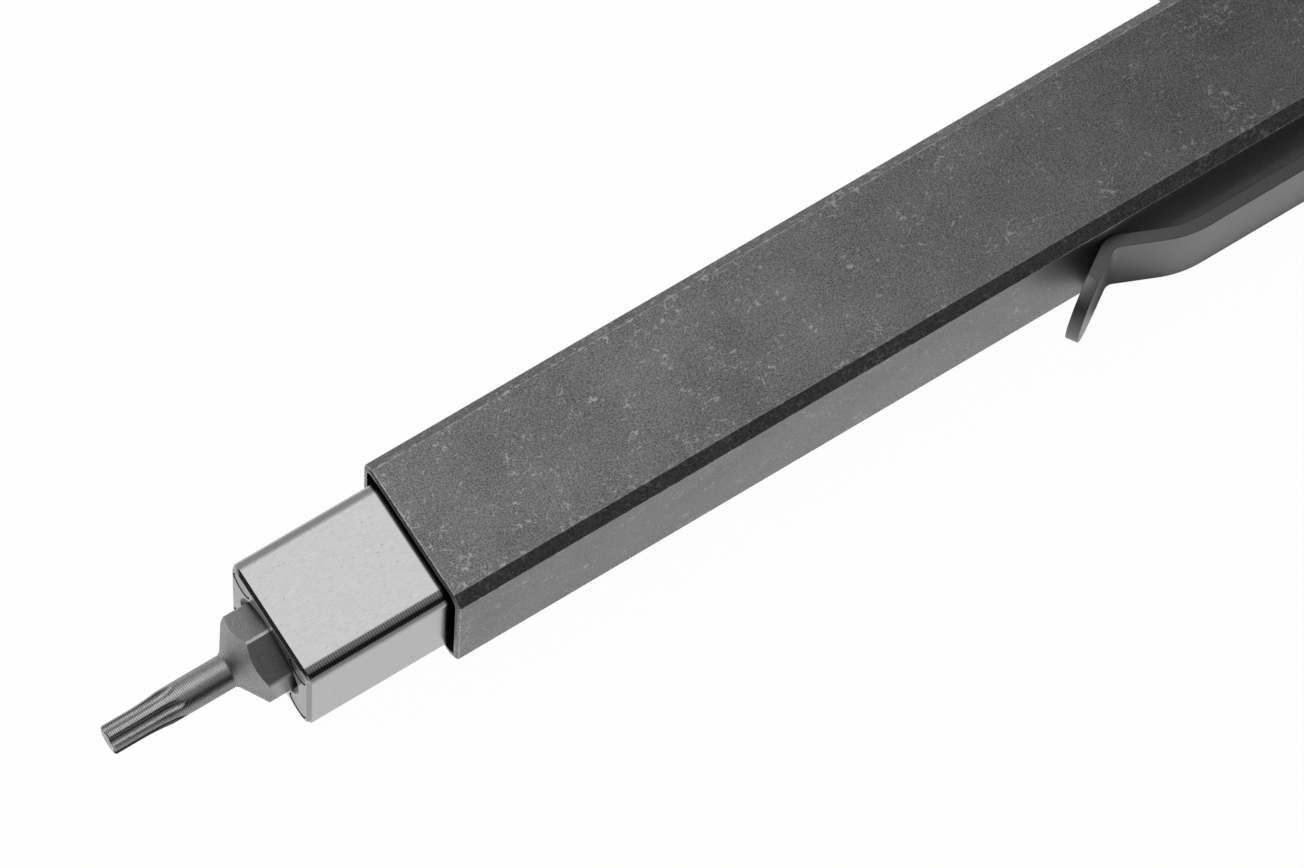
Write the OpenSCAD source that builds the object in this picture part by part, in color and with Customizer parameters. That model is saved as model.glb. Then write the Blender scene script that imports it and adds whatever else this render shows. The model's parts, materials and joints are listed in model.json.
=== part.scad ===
// Pocket screwdriver: a square tube with a pocket clip, and a square carriage that slides out of
// its mouth with a hex bit. X runs along the tool towards the tip, Y towards the clip, Z up.
// The origin is the centre of the hex socket's mouth, on the carriage's front face.

/* [Tube] */
// Width and height of the square tube
body_w = 13; // [12.6:0.1:14]
// Width of the flat cut along each long edge of the tube, seen square to a side
body_edge = 0.92; // [0.5:0.01:1.2]
// Thickness of the tube's wall
body_wall = 0.5; // [0.45:0.05:0.6]
// Radius of the bore's inside corners
bore_corner = 1; // [0.6:0.1:1.1]
// Length of the tube
sleeve_len = 117; // [114.5:0.5:125]
// Small bevel round the mouth's outer edge
mouth_bevel = 0.16; // [0.04:0.01:0.25]

/* [Carriage] */
// Gap on each side of the carriage, seen in the mouth
block_gap = 0.65; // [0.5:0.05:0.8]
// Radius of the carriage's long corners
block_corner = 1.15; // [0.9:0.05:1.3]
// Bevel round the carriage's front face
block_bevel = 0.3; // [0.1:0.01:0.35]
// How far the carriage stands out of the mouth
reach = 11.95; // [10:0.05:14]
// Length of the front block that stays inside the tube
block_inside = 14; // [12:0.5:15]
// Length of the guide block behind it
guide_len = 19.5; // [16:0.5:20]
// Gap on each side of the guide block, which its pads take up
guide_gap = 0.2; // [0.15:0.05:0.3]
// Diameter of the corner dowels, as a share of the carriage's width
dowel_share = 0.2037; // [0.17:0.0001:0.22]
// Share of the metal beside each dowel that lies between it and the socket
inset_share = 0.626; // [0.5:0.001:0.7]
// How far the dowels' ends lie below the front face
dowel_sink = 0.05; // [0.02:0.01:0.15]
// Bevel round the dowels' ends
dowel_bevel = 0.12; // [0.05:0.01:0.2]
// Depth of the dowels in the guide block
dowel_grip = 8; // [6:0.5:10]
// Width of the lead-in cone round the socket's mouth
lead_w = 0.65; // [0.3:0.05:0.7]
// Depth of the lead-in cone
lead_depth = 0.8; // [0.4:0.1:1.2]
// Length of each glide pad
pad_len = 11; // [8:0.5:12]
// Width of each glide pad
pad_w = 5; // [4:0.5:5]
// Thickness of each glide pad
pad_t = 0.5; // [0.4:0.05:0.6]
// Diameter of the bit magnet
magnet_d = 5.5; // [4:0.5:6]
// Thickness of the bit magnet
magnet_t = 3; // [2:0.5:4]

/* [Push rod] */
// Diameter of the push rod
rod_d = 6; // [5:0.5:6]
// Length of the rod inside the guide block
rod_seat = 10; // [8:0.5:11]
// Diameter of the rod's journal, on which the bolt turns
journal_d = 4; // [3.6:0.1:4.2]
// Diameter of the cross pin that locks the rod
cross_pin_d = 1.5; // [1:0.1:2]
// Length of the rod bushing
bushing_len = 4; // [3:0.5:4]
// Room between the guide block and the bushing with the carriage in
guide_room = 1.1; // [1:0.1:1.5]
// Room between the bushing and the rod's shoulder with the carriage out
bushing_room = 1.4; // [1.2:0.1:2]

/* [Bit] */
// Width of the bit's hexagon across its flats
bit_af = 6.35; // [6.3:0.01:6.4]
// Overall length of the bit
bit_len = 25; // [24:0.5:25]
// How far the bit stands out of the carriage
bit_out = 13.7; // [13:0.1:14.5]
// Where the hexagon's corners begin, from the front face
hex_end = 1.94; // [1:0.01:3]
// Diameter that rounds the hexagon's corners
hex_round_d = 7.2; // [7:0.05:7.3]
// Length of the cone from the hexagon down to the shaft
cone_len = 1.5; // [1.4:0.01:2.2]
// Diameter of the bit's shaft
shaft_d = 2.65; // [2.5:0.05:3]
// Outer diameter of the six-lobe tip
lobe_d = 2.31; // [2.2:0.01:2.4]
// Diameter at the bottom of the tip's flutes
root_d = 1.66; // [1.5:0.01:1.75]
// Radius of each flute
flute_r = 0.47; // [0.4:0.01:0.5]
// Length of the tip's even part
lobe_len = 2.2; // [1.5:0.1:3]
// Length over which the tip widens to the shaft
flare_len = 2.5; // [2:0.1:3]
// Length of the even part of each flute
flute_len = 4.3; // [3:0.1:5]
// Radius of the path on which each flute runs out
runout_r = 3.5; // [2.5:0.1:6]
// Height of the slight dome on the tip's end
tip_dome = 0.08; // [0.04:0.01:0.15]
// Bevel round the tip's end
tip_bevel = 0.12; // [0.05:0.01:0.2]

/* [Bolt] */
// Diameter of the stud
stud_d = 3; // [2.6:0.1:3.2]
// Length of the bolt body
bolt_len = 11; // [10:0.5:11]
// Angle through which the bolt turns into a notch
turn = 20; // [15:1:22]
// Diameter of the knob
knob_d = 5.5; // [4.5:0.1:6]
// Height of the knob's even part
knob_h = 1.7; // [1:0.1:3]
// Height of the knob's dome
knob_dome = 0.7; // [0.4:0.1:1]
// Thickness of the rubber ring's cord
ring_cord = 1; // [0.8:0.1:1.2]
// Diameter of the screw that holds the bolt on the rod
bolt_screw_d = 2.5; // [2:0.5:3]
// Thickness of the washer under that screw's head
washer_t = 0.5; // [0.4:0.1:0.6]

/* [Clip] */
// Width of the clip
clip_w = 7.7; // [6:0.1:9]
// Thickness of the clip
clip_t = 1; // [0.9:0.05:1.3]
// Gap between the tube and the clip's straight part
clip_gap = 2.16; // [1.8:0.02:2.6]
// Gap between the tube and the clip's contact bend
contact_gap = 0.06; // [0.03:0.01:0.3]
// Distance from the mouth to the contact bend
contact_back = 56; // [50:0.1:60]
// Slope of the clip down to the contact bend
ramp_angle = 23; // [20:1:30]
// Radius of the bend at the top of that slope, at mid thickness
ramp_bend = 8.2; // [6:0.1:9.5]
// Radius of the contact bend at mid thickness
contact_bend = 1.3; // [1.1:0.1:2]
// Slope of the clip's flared tip
flare_angle = 34; // [30:1:45]
// Length of the flared tip
flare_run = 5.8; // [4.5:0.1:9]
// Corner radius of the clip's round tip, as a share of half the clip's width
tip_share = 0.98; // [0.4:0.01:1]
// Slope of the joggle down to the clip's foot
joggle_angle = 30; // [25:1:40]
// Radius of the joggle's bends at mid thickness
joggle_bend = 3.5; // [2.5:0.1:4]
// Length of the clip's foot
foot_len = 11.8; // [11:0.1:12]

/* [Tail] */
// Length of the tail plug inside the tube
plug_len = 9.2; // [8.8:0.1:14]
// Thickness of the tail plug's flange
flange_t = 1.5; // [1:0.1:3]
// Thickness of the rubber buffer
buffer_t = 1; // [0.6:0.1:1.5]
// Distance between the clip screws
clip_screw_pitch = 4.8; // [4.6:0.1:5]
// Distance from the tube's end to the rear clip screw
clip_screw_back = 2.3; // [2.2:0.1:2.6]
// Diameter of the clip screws
clip_screw_d = 2; // [1.6:0.1:2.2]
// Length of the clip screws under the head
clip_screw_len = 5; // [4:0.5:6]
// Diameter of the clip screws' heads
clip_head_d = 3.6; // [3.2:0.1:3.8]
// Height of the clip screws' heads
clip_head_h = 1.1; // [0.9:0.1:1.4]

/* [Fits] */
// Gap on each side of a sliding part
slide_gap = 0.05; // [0.03:0.01:0.08]
// Gap round a turning shaft
turn_gap = 0.05; // [0.03:0.01:0.08]
// Gap round the stud in its slot
slot_gap = 0.15; // [0.1:0.01:0.25]
// Gap round a pin or insert that is pressed or glued in
seat_gap = 0.02; // [0.01:0.01:0.04]
// Gap round a screw in a clearance hole
hole_gap = 0.1; // [0.05:0.01:0.2]
// Gap round the bit in its socket
socket_gap = 0.025; // [0.02:0.005:0.05]
// Gap between pieces that pass each other
pass_gap = 0.3; // [0.2:0.05:0.4]

/* [Hidden] */
$fn = 96;
flat_fn = 48;
// Steps in each of the clip's bends
bend_steps = 12;

// Length by which a cutter runs past what it cuts
overrun = 1;

// The carriage slides by half of what the pieces in the tube leave free of its length
travel = (sleeve_len - block_inside - guide_len - guide_room - bushing_len - bushing_room
          - washer_t - bolt_len - pass_gap - buffer_t - plug_len) / 2;

// Places along the tool, from the tube's mouth back to its end
mouth_x = -reach;
block_back_x = mouth_x - block_inside;
guide_back_x = block_back_x - guide_len;
bushing_x = guide_back_x - travel - guide_room;
rod_end_x = bushing_x - bushing_len - bushing_room;
bolt_front_x = rod_end_x - washer_t;
stud_x = bolt_front_x - bolt_len / 2;
bolt_back_x = bolt_front_x - bolt_len;
buffer_x = bolt_back_x - travel - pass_gap;
plug_x = buffer_x - buffer_t;
tail_x = mouth_x - sleeve_len;
flange_x = tail_x - flange_t;

body_half = body_w / 2;
bore_w = body_w - 2 * body_wall;
bore_half = bore_w / 2;
block_w = bore_w - 2 * block_gap;
guide_w = bore_w - 2 * guide_gap;

// The socket: a hexagon over a slightly wider drilled hole, which shows beside the flats
socket_af = bit_af + 2 * socket_gap;
socket_depth = bit_len - bit_out + seat_gap;
pilot_share = 1.047;
pilot_d = socket_af * pilot_share;
// A hexagon's width across its corners, as a share of that across its flats
hex_share = 2 / sqrt(3);

// The dowels lie on the diagonals, between the socket and the carriage's round corners
corner_r = block_w / sqrt(2) - block_corner * (sqrt(2) - 1);
dowel_d = block_w * dowel_share;
dowel_inset = (corner_r - pilot_d / 2 - dowel_d) * inset_share;
dowel_offset = (pilot_d / 2 + dowel_inset + dowel_d / 2) / sqrt(2);

// The pads stand proud of the guide block and run in the bore
pad_r = bore_half - slide_gap;
pad_seat_r = pad_r - pad_t;
guide_mid_x = block_back_x - guide_len / 2;
cross_pin_x = guide_back_x + rod_seat / 2;

// The bolt turns on the rod's journal between two washers, and its screw runs into the journal
land_share = 0.73;
land_len = bolt_len * land_share;
land_back_x = bolt_front_x - land_len;
journal_bore = journal_d + 2 * turn_gap;
journal_end_x = land_back_x - turn_gap;
screw_seat_x = journal_end_x - washer_t;
counterbore_share = 2.8;
counterbore_d = bolt_screw_d * counterbore_share;
screw_share = 0.85;
screw_end_x = journal_end_x + land_len * screw_share;

// The ring lies in a groove near the bolt's front and rubs in the bore
bolt_d = bore_w - 4 * slide_gap;
groove_share = 1.3;
groove_w = ring_cord * groove_share;
groove_x = bolt_front_x - 2 * ring_cord;
ring_r = bore_half - slide_gap - ring_cord / 2;
groove_d = 2 * (ring_r - ring_cord / 2 - seat_gap);

// The stud stands out of the tube far enough for the knob to clear it when the bolt turns
stud_root = journal_bore / 2 + 2 * pass_gap;
shoulder_r = (body_half + pass_gap + sin(turn) * stud_d / 2) / cos(turn);
knob_r = (body_half + pass_gap + sin(turn) * knob_d / 2) / cos(turn);
stud_end = knob_r + knob_h / 2;
slot_w = stud_d + 2 * slot_gap;
notch_z = body_half * tan(turn) + slot_gap / 2;

// The clip's path at mid thickness, from its foot to its tip
lift = clip_gap - contact_gap;
ramp_len = (lift - (ramp_bend + contact_bend) * (1 - cos(ramp_angle))) / sin(ramp_angle);
joggle_len = (clip_gap - 2 * joggle_bend * (1 - cos(joggle_angle))) / sin(joggle_angle);
ramp_run = (ramp_bend + contact_bend) * sin(ramp_angle) + ramp_len * cos(ramp_angle);
joggle_run = 2 * joggle_bend * sin(joggle_angle) + joggle_len * cos(joggle_angle);
foot_back_x = tail_x + pass_gap;
contact_x = mouth_x - contact_back;
straight_len = contact_x - ramp_run - (foot_back_x + foot_len + joggle_run);
clip_corner = clip_w / 2 * tip_share;
clip_screw_x = tail_x + clip_screw_back;
clip_outer_y = body_half + clip_t;

// A round bar along X between two places
module bar(d, from, to) {
    translate([from, 0, 0]) rotate([0, 90, 0]) cylinder(d = d, h = to - from);
}

// A hexagonal bar along X with corners up and down
module hex_bar(af, from, to) {
    translate([from, 0, 0]) rotate([0, 90, 0]) cylinder(d = af * hex_share, h = to - from, $fn = 6);
}

// A shape turned about X, from points of radius and place along X
module turned(points) {
    rotate([0, 90, 0]) rotate_extrude() polygon(points);
}

// A bar along Y between two places
module cross_bar(d, from, to) {
    translate([0, from, 0]) rotate([-90, 0, 0]) cylinder(d = d, h = to - from);
}

// The side view of a square bar whose far end has a bevel
module bar_side(side, from, to, bevel) {
    h = side / 2;
    polygon([[from, -h], [to - bevel, -h], [to, bevel - h],
             [to, h - bevel], [to - bevel, h], [from, h]]);
}

// A square bar along X with round long corners
module square_bar(side, corner, from, to, bevel = 0) {
    flat = side - 2 * corner;
    translate([0, 0, -flat / 2]) linear_extrude(flat) bar_side(side, from, to, bevel);
    translate([0, flat / 2, 0]) rotate([90, 0, 0]) linear_extrude(flat) bar_side(side, from, to, bevel);
    for (y = [-1, 1], z = [-1, 1]) translate([0, y * flat / 2, z * flat / 2]) {
        bar(2 * corner, from, to - bevel);
        if (bevel > 0) translate([to - bevel, 0, 0]) rotate([0, 90, 0])
            cylinder(r1 = corner, r2 = corner - bevel, h = bevel);
    }
}

// The tube's outline with its long edges cut flat
module tube_outline(side) {
    h = side / 2;
    f = h - body_edge;
    polygon([[h, -f], [h, f], [f, h], [-f, h], [-h, f], [-h, -f], [-f, -h], [f, -h]]);
}

module tube_bar(from, to) {
    translate([from, 0, 0]) rotate([90, 0, 90]) linear_extrude(to - from) tube_outline(body_w);
}

// A short taper on the end of the tube's outline; way is 1 towards the tip and -1 towards the tail
module tube_bevel(at, bevel, way) {
    translate([at, 0, 0]) mirror([way < 0 ? 1 : 0, 0, 0]) rotate([90, 0, 90])
        linear_extrude(bevel, scale = 1 - 2 * bevel / body_w) tube_outline(body_w);
}

// Repeats what follows at the four dowels' places
module at_dowels() {
    for (y = [-1, 1], z = [-1, 1]) translate([0, y * dowel_offset, z * dowel_offset]) children();
}

module at_clip_screws() {
    for (i = [0, 1]) translate([clip_screw_x + i * clip_screw_pitch, 0, 0]) children();
}

// The slot's straight run, and a notch at each end, all in the far wall
module slot_bar(x, z) {
    translate([x, 0, z]) cross_bar(slot_w, -body_half - overrun, -bore_half + overrun);
}

module slot_box(from, to, low, high) {
    translate([from, -body_half - overrun, low])
        cube([to - from, body_wall + 2 * overrun, high - low]);
}

module bolt_slot() {
    slot_bar(stud_x, 0);
    slot_bar(stud_x - travel, 0);
    slot_box(stud_x - travel, stud_x, -slot_w / 2, slot_w / 2);
    for (x = [stud_x, stud_x - travel]) {
        slot_bar(x, notch_z);
        slot_box(x - slot_w / 2, x + slot_w / 2, 0, notch_z);
    }
}

module body_sleeve() {
    color("#5b5c5e") difference() {
        union() {
            tube_bar(tail_x, mouth_x - mouth_bevel);
            tube_bevel(mouth_x - mouth_bevel, mouth_bevel, 1);
        }
        square_bar(bore_w, bore_corner, tail_x - overrun, mouth_x + overrun);
        bolt_slot();
        at_clip_screws() cross_bar(clip_screw_d + 2 * hole_gap, 0, body_w);
    }
}

// The clip's path from its foot: a straight length, then a bend's radius and angle, for each stretch
function clip_moves() = [
    [foot_len, joggle_bend, joggle_angle], [joggle_len, joggle_bend, -joggle_angle],
    [straight_len, ramp_bend, -ramp_angle], [ramp_len, contact_bend, ramp_angle + flare_angle],
    [flare_run, contact_bend, 0]];

// A point on a bend that starts at p with heading a and has turned to heading h
function bend_point(p, a, h, r) = p + sign(h - a) * r * [sin(h) - sin(a), cos(a) - cos(h)];

// Points along the path, each with its heading; a positive angle bends away from the tube
function clip_path(moves, p, a, i = 0) =
    i == len(moves) ? [] :
    let (m = moves[i], q = p + m[0] * [cos(a), sin(a)], b = a + m[2], n = m[2] == 0 ? 0 : bend_steps)
    concat([[p, a]],
           [for (k = [0:n]) let (h = a + m[2] * k / max(n, 1)) [bend_point(q, a, h, m[1]), h]],
           clip_path(moves, bend_point(q, a, b, m[1]), b, i + 1));

function beside(path, d) = [for (e = path) e[0] + d * [-sin(e[1]), cos(e[1])]];

function reversed(list) = [for (i = [len(list) - 1:-1:0]) list[i]];

module clip_strip() {
    path = clip_path(clip_moves(), [foot_back_x, body_half + clip_t / 2], 0);
    tip = path[len(path) - 1];
    difference() {
        translate([0, 0, -clip_w / 2]) linear_extrude(clip_w)
            polygon(concat(beside(path, clip_t / 2), reversed(beside(path, -clip_t / 2))));
        for (z = [-1, 1]) translate(tip[0]) rotate([0, 0, tip[1]])
            translate([-clip_corner, 0, z * (clip_w / 2 - clip_corner)]) difference() {
                translate([0, -clip_t, z > 0 ? 0 : -2 * clip_corner])
                    cube([2 * clip_corner, 2 * clip_t, 2 * clip_corner]);
                cross_bar(2 * clip_corner, -body_w, body_w);
            }
    }
}

module pocket_clip() {
    color("#636466") difference() {
        clip_strip();
        at_clip_screws() cross_bar(clip_screw_d + 2 * hole_gap, 0, body_w);
    }
}

module clip_screw() {
    key_share = 0.42;
    crown_share = 0.4;
    key_af = clip_head_d * key_share;
    crown = clip_head_h * crown_share;
    sphere_r = (pow(clip_head_d / 2, 2) + crown * crown) / (2 * crown);
    translate([0, clip_outer_y, 0]) rotate([-90, 0, 0]) difference() {
        union() {
            translate([0, 0, -clip_screw_len]) cylinder(d = clip_screw_d, h = clip_screw_len + crown);
            cylinder(d = clip_head_d, h = clip_head_h - crown);
            intersection() {
                cylinder(d = clip_head_d, h = clip_head_h);
                translate([0, 0, clip_head_h - sphere_r]) sphere(r = sphere_r);
            }
        }
        translate([0, 0, clip_head_h / 3]) cylinder(d = key_af * hex_share, h = clip_head_h, $fn = 6);
    }
}

module clip_screws() {
    color("#3c3d3f") at_clip_screws() clip_screw();
}

module tail_plug() {
    plug_w = bore_w - 2 * seat_gap;
    bevel = flange_t / 3;
    color("#5b5c5e") difference() {
        union() {
            tube_bar(flange_x + bevel, tail_x);
            tube_bevel(flange_x + bevel, bevel, -1);
            square_bar(plug_w, bore_corner, tail_x, plug_x);
        }
        at_clip_screws() cross_bar(clip_screw_d + 2 * seat_gap, clip_outer_y - clip_screw_len, body_w);
    }
}

module rear_buffer() {
    width_share = 0.8;
    color("#26262a") bar(bolt_d * width_share, plug_x, buffer_x);
}

module rod_bushing() {
    color("#2b2b2e") difference() {
        square_bar(bore_w - 2 * seat_gap, bore_corner, bushing_x - bushing_len, bushing_x);
        bar(rod_d + 2 * turn_gap, bushing_x - bushing_len - overrun, bushing_x + overrun);
    }
}

module bit_block() {
    lead_r = pilot_d / 2 + lead_w;
    color("#c9cacb") difference() {
        square_bar(block_w, block_corner, block_back_x, 0, block_bevel);
        hex_bar(socket_af, -socket_depth, overrun);
        bar(pilot_d, -socket_depth, overrun);
        bar(magnet_d + 2 * seat_gap, -socket_depth - magnet_t - seat_gap, overrun);
        turned([[0, -lead_depth], [pilot_d / 2, -lead_depth], [lead_r, 0], [lead_r, overrun],
                [0, overrun]]);
        at_dowels() bar(dowel_d + 2 * seat_gap, block_back_x - overrun, overrun);
    }
}

module corner_dowels() {
    r = dowel_d / 2;
    back = block_back_x - dowel_grip;
    color("#9b9c9e") at_dowels() turned([
        [0, back], [r - dowel_bevel, back], [r, back + dowel_bevel], [r, -dowel_sink - dowel_bevel],
        [r - dowel_bevel, -dowel_sink], [0, -dowel_sink]]);
}

module at_pads() {
    for (a = [0:90:270]) rotate([a, 0, 0]) children();
}

// A glide pad or, with a gap round it, its recess
module pad(gap, h) {
    translate([guide_mid_x - pad_len / 2 - gap, -pad_w / 2 - gap, pad_seat_r - gap])
        cube([pad_len + 2 * gap, pad_w + 2 * gap, h + gap]);
}

module guide_block() {
    color("#b4b5b7") difference() {
        square_bar(guide_w, block_corner, guide_back_x, block_back_x);
        at_dowels() bar(dowel_d + 2 * seat_gap, block_back_x - dowel_grip - pass_gap,
                        block_back_x + overrun);
        bar(rod_d + 2 * seat_gap, guide_back_x - overrun, guide_back_x + rod_seat + seat_gap);
        translate([cross_pin_x, 0, -guide_w]) cylinder(d = cross_pin_d + 2 * seat_gap, h = 2 * guide_w);
        at_pads() pad(seat_gap, pad_t + overrun);
    }
}

module glide_pads() {
    color("#e4e2dc") at_pads() pad(0, pad_t);
}

module bit_magnet() {
    color("#a9abad") bar(magnet_d, -socket_depth - magnet_t, -socket_depth);
}

module push_rod() {
    color("#a3a4a6") difference() {
        union() {
            bar(rod_d, rod_end_x, guide_back_x + rod_seat);
            bar(journal_d, journal_end_x, rod_end_x);
        }
        translate([cross_pin_x, 0, -rod_d]) cylinder(d = cross_pin_d + 2 * seat_gap, h = 2 * rod_d);
        bar(bolt_screw_d + 2 * seat_gap, journal_end_x - overrun, screw_end_x + pass_gap);
    }
}

module rod_cross_pin() {
    pin_half = pad_seat_r - 2 * seat_gap;
    color("#8c8d8f") translate([cross_pin_x, 0, -pin_half])
        cylinder(d = cross_pin_d, h = 2 * pin_half);
}

// A flat ring on the journal, between the rod's shoulder and the bolt
module thrust_washer() {
    color("#b08d4c") difference() {
        bar(rod_d, bolt_front_x + turn_gap, rod_end_x);
        bar(journal_bore, bolt_front_x - overrun, rod_end_x + overrun);
    }
}

module bolt_washer() {
    color("#b08d4c") difference() {
        bar(counterbore_d - 2 * hole_gap, screw_seat_x, journal_end_x);
        bar(bolt_screw_d + 2 * turn_gap, screw_seat_x - overrun, journal_end_x + overrun);
    }
}

module bolt_screw() {
    head_share = 1.8;
    height_share = 0.75;
    key_share = 0.8;
    key_depth_share = 0.6;
    head_h = (screw_seat_x - bolt_back_x) * height_share;
    head_x = screw_seat_x - head_h;
    color("#3c3d3f") difference() {
        union() {
            bar(bolt_screw_d * head_share, head_x, screw_seat_x);
            bar(bolt_screw_d, head_x, screw_end_x);
        }
        hex_bar(bolt_screw_d * key_share, head_x - overrun, head_x + head_h * key_depth_share);
    }
}

module bolt_body() {
    color("#8f9092") difference() {
        bar(bolt_d, bolt_back_x, bolt_front_x);
        bar(journal_bore, bolt_back_x - overrun, bolt_front_x + overrun);
        bar(counterbore_d, bolt_back_x - overrun, land_back_x);
        translate([groove_x - groove_w / 2, 0, 0]) difference() {
            bar(bolt_d + overrun, 0, groove_w);
            bar(groove_d, -overrun, groove_w + overrun);
        }
        translate([stud_x, 0, 0]) cross_bar(stud_d + 2 * seat_gap, -body_w, -stud_root + seat_gap);
    }
}

module bolt_ring() {
    color("#1e1e20") translate([groove_x, 0, 0]) rotate([0, 90, 0])
        rotate_extrude() translate([ring_r, 0]) circle(d = ring_cord, $fn = flat_fn);
}

module bolt_stud() {
    color("#9b9c9e") translate([stud_x, 0, 0]) cross_bar(stud_d, -stud_end, -stud_root);
}

module bolt_knob() {
    r = knob_d / 2;
    top = knob_r + knob_h;
    bore_r = stud_d / 2 + seat_gap;
    steps = 6;
    color("#5b5c5e") translate([stud_x, 0, 0]) rotate([90, 0, 0]) rotate_extrude() polygon(concat(
        [[bore_r, shoulder_r + pass_gap], [r, knob_r]],
        [for (i = [0:steps]) let (a = 90 * i / steps)
            [r - knob_dome * (1 - cos(a)), top + knob_dome * sin(a)]],
        [[0, top + knob_dome], [0, stud_end + seat_gap], [bore_r, stud_end + seat_gap]]));
}

// The bit's turned outline, from its back end to its tip
module bit_turned() {
    back = bit_out - bit_len;
    end_r = bit_af / 2;
    r = shaft_d / 2;
    tip_r = lobe_d / 2;
    even_x = bit_out - tip_dome - lobe_len;
    steps = 8;
    back_shares = [0.93, 0.13];
    cone_shares = [0.93, 0.12, 1.1];
    turned(concat(
        [[0, back], [end_r * back_shares[0], back],
         [hex_round_d / 2, back + end_r * back_shares[1]], [hex_round_d / 2, hex_end],
         [r + cone_len * cone_shares[1], hex_end + cone_len * cone_shares[0]],
         [r, hex_end + cone_len * cone_shares[2]]],
        [for (i = [0:steps]) let (s = i / steps)
            [tip_r + (r - tip_r) * (1 - s) * (1 - s), even_x - flare_len * (1 - s)]],
        [[tip_r, bit_out - tip_dome - tip_bevel], [tip_r - tip_bevel, bit_out - tip_dome],
         [tip_r / 2, bit_out - tip_dome / 4], [0, bit_out]]));
}

// One flute's cutter: straight from the tip, then curving out of the shaft
module flute_cutter() {
    runout_angle = 45;
    centre_r = root_d / 2 + flute_r;
    start_x = bit_out - flute_len;
    translate([0, centre_r, 0]) bar(2 * flute_r, start_x, bit_out + overrun);
    translate([start_x, centre_r + runout_r, 0]) rotate([0, 0, 270 - runout_angle])
        rotate_extrude(angle = runout_angle) translate([runout_r, 0]) circle(r = flute_r, $fn = flat_fn);
}

module driver_bit() {
    color("#8d8e90") difference() {
        intersection() {
            bit_turned();
            union() {
                hex_bar(bit_af, bit_out - bit_len - overrun, hex_end + cone_len);
                bar((shaft_d + bit_af) / 2, hex_end, bit_out + overrun);
            }
        }
        for (a = [0:60:300]) rotate([a, 0, 0]) flute_cutter();
    }
}

body_sleeve();
pocket_clip();
clip_screws();
tail_plug();
rear_buffer();
rod_bushing();
bit_block();
corner_dowels();
guide_block();
glide_pads();
bit_magnet();
push_rod();
rod_cross_pin();
thrust_washer();
bolt_washer();
bolt_screw();
bolt_body();
bolt_ring();
bolt_stud();
bolt_knob();
driver_bit();
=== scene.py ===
import json
import math
import bmesh
import bpy
from mathutils import Matrix, Vector


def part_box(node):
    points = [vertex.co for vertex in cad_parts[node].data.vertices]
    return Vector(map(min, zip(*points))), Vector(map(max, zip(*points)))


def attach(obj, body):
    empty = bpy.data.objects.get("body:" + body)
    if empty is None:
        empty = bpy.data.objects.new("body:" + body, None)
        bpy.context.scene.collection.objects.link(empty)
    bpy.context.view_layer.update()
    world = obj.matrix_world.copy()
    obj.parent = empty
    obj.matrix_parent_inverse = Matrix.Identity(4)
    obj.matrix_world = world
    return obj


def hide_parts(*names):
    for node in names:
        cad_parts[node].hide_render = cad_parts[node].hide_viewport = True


# A pocket screwdriver: a stonewashed square tube with a clip, and a bright square carriage
# that slides out of its mouth with a hex bit. Pieces are modelled in millimetres and go to
# metres when they are finished.
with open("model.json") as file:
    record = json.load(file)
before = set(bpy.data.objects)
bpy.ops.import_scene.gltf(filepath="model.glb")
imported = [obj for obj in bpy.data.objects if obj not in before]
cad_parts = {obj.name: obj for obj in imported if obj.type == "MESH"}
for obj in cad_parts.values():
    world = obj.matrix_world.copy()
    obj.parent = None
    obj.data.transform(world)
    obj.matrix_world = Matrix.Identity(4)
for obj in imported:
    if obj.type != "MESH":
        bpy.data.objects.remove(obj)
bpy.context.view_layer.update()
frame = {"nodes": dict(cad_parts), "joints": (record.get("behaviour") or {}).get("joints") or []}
scene = bpy.context.scene
scene.view_settings.view_transform = "Standard"
mm = 0.001
joints = {joint["name"]: joint for joint in frame["joints"]}
slideTravel = -joints["carriage_slide"]["range_m"][0] / mm
boltTurn = math.radians(joints["bolt_turn"]["range_deg"][1])
alongX, alongY = 0, 1
touch = 0.01  # places nearer than this, in mm, count as one
past = 1  # how far cutters reach beyond what they cut, in mm
shy = 0.001  # a full round stops this far short of meeting itself
toMm = (1000, 1000, 1000)


def boxOf(node):
    low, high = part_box(node)
    return low / mm, high / mm


def startBox(low, high):
    bm = bmesh.new()
    bmesh.ops.create_cube(bm, size=1)
    bmesh.ops.scale(bm, vec=Vector(high) - Vector(low), verts=bm.verts)
    bmesh.ops.translate(bm, vec=(Vector(low) + Vector(high)) / 2, verts=bm.verts)
    return bm


def startRod(diameter, start, end, steps=64):
    # with six steps it is a hexagonal prism, corners up and down when it lies along X
    bm = bmesh.new()
    run = Vector(end) - Vector(start)
    turned = run.to_track_quat("Z", "Y").to_matrix().to_4x4()
    place = Matrix.Translation((Vector(start) + Vector(end)) / 2) @ turned
    bmesh.ops.create_cone(bm, cap_ends=True, segments=steps, radius1=diameter / 2,
                          radius2=diameter / 2, depth=run.length, matrix=place)
    return bm


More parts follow.
